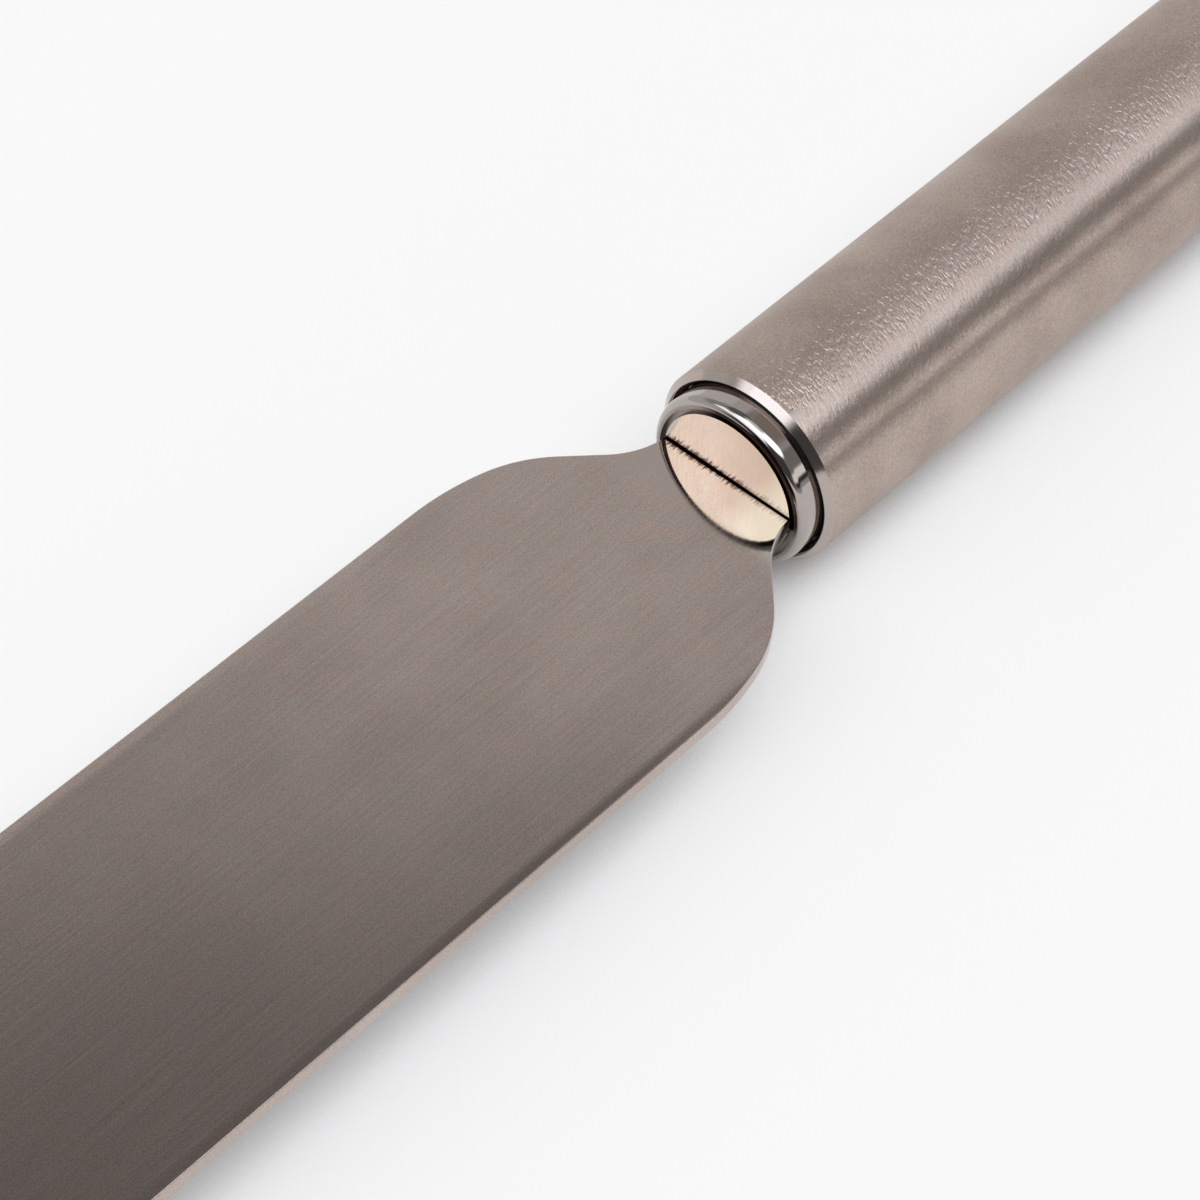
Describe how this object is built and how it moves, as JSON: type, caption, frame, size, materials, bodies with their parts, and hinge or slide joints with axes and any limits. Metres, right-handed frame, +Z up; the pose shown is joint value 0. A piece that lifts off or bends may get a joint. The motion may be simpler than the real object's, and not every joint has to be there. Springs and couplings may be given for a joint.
{
  "type": "icing spatula",
  "caption": "Icing spatula: flat round-tipped steel blade with a flared neck, pinned in a slotted turned collar that closes a tubular brushed steel handle.",
  "frame": {"origin": "on the surface that the handle lies on, under the middle of the tool's length and width", "axes": "+X from the handle to the blade's tip, +Y across the blade, +Z up, square to the blade's flat"},
  "size_m": [0.3344, 0.0308, 0.018],
  "materials": {
    "blade_steel": "fine satin, brushed lengthwise, smoother at the neck",
    "collar_steel": "polished rim, satin end face with a groove round it",
    "tube_steel": "satin, brushed round the tube, polished end bevels",
    "ring_rubber": "matte black",
    "pin_steel": "plain ground"
  },
  "bodies": {
    "root": {"blade": "blade_steel", "front_collar": "collar_steel", "front_ring": "ring_rubber", "handle_tube": "tube_steel", "tang_pin_front": "pin_steel", "tang_pin_rear": "pin_steel", "rear_cap": "collar_steel", "rear_ring": "ring_rubber"}
  },
  "joints": []
}
